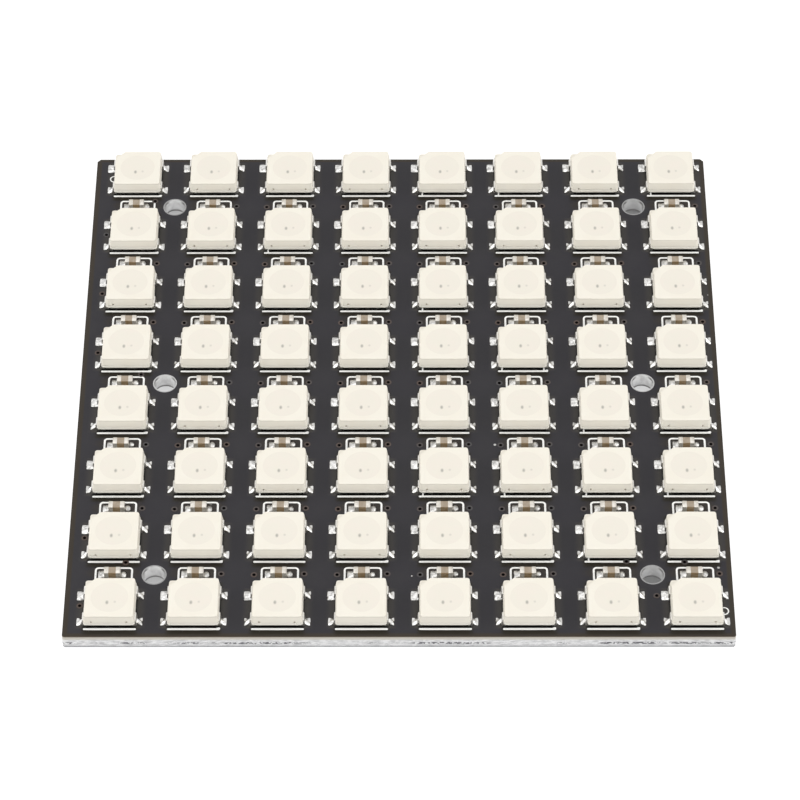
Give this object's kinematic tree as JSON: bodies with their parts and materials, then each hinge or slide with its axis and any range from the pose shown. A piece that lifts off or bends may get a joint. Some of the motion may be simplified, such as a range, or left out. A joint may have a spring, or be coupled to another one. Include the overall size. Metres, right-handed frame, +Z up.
{
  "type": "rgb led matrix panel",
  "caption": "Square black circuit board with a grid of white-packaged RGB LEDs, a chip capacitor between each two, and plated screw holes.",
  "frame": {"origin": "under the middle of the board, on its back face", "axes": "+Z up through the LEDs, +X along an LED row, +Y towards LED row 1"},
  "size_m": [0.065, 0.065, 0.0034],
  "materials": {
    "solder_mask": "black solder mask over glass-fibre laminate, satin, with a pale cut edge",
    "tinned_pad": "tinned copper, dull silver",
    "led_housing": "ivory moulded plastic, smooth and matt",
    "led_resin": "milky cast resin, slightly cloudy",
    "soldered_lead": "tinned lead in a bright solder fillet",
    "capacitor_ceramic": "fired brown ceramic, satin",
    "capacitor_terminal": "tinned end cap, satin silver"
  },
  "bodies": {
    "root": {"circuit_board": "solder_mask", "connection_pads": "tinned_pad", "screw_hole_sleeves": "tinned_pad", "led_housings_row_1": "led_housing", "led_windows_row_1": "led_resin", "led_leads_row_1": "soldered_lead", "led_housings_row_2": "led_housing", "led_windows_row_2": "led_resin", "led_leads_row_2": "soldered_lead", "led_housings_row_3": "led_housing", "led_windows_row_3": "led_resin", "led_leads_row_3": "soldered_lead", "led_housings_row_4": "led_housing", "led_windows_row_4": "led_resin", "led_leads_row_4": "soldered_lead", "led_housings_row_5": "led_housing", "led_windows_row_5": "led_resin", "led_leads_row_5": "soldered_lead", "led_housings_row_6": "led_housing", "led_windows_row_6": "led_resin", "led_leads_row_6": "soldered_lead", "led_housings_row_7": "led_housing", "led_windows_row_7": "led_resin", "led_leads_row_7": "soldered_lead", "led_housings_row_8": "led_housing", "led_windows_row_8": "led_resin", "led_leads_row_8": "soldered_lead", "capacitor_bodies_gap_1": "capacitor_ceramic", "capacitor_terminals_gap_1": "capacitor_terminal", "capacitor_bodies_gap_2": "capacitor_ceramic", "capacitor_terminals_gap_2": "capacitor_terminal", "capacitor_bodies_gap_3": "capacitor_ceramic", "capacitor_terminals_gap_3": "capacitor_terminal", "capacitor_bodies_gap_4": "capacitor_ceramic", "capacitor_terminals_gap_4": "capacitor_terminal", "capacitor_bodies_gap_5": "capacitor_ceramic", "capacitor_terminals_gap_5": "capacitor_terminal", "capacitor_bodies_gap_6": "capacitor_ceramic", "capacitor_terminals_gap_6": "capacitor_terminal", "capacitor_bodies_gap_7": "capacitor_ceramic", "capacitor_terminals_gap_7": "capacitor_terminal"}
  },
  "joints": []
}
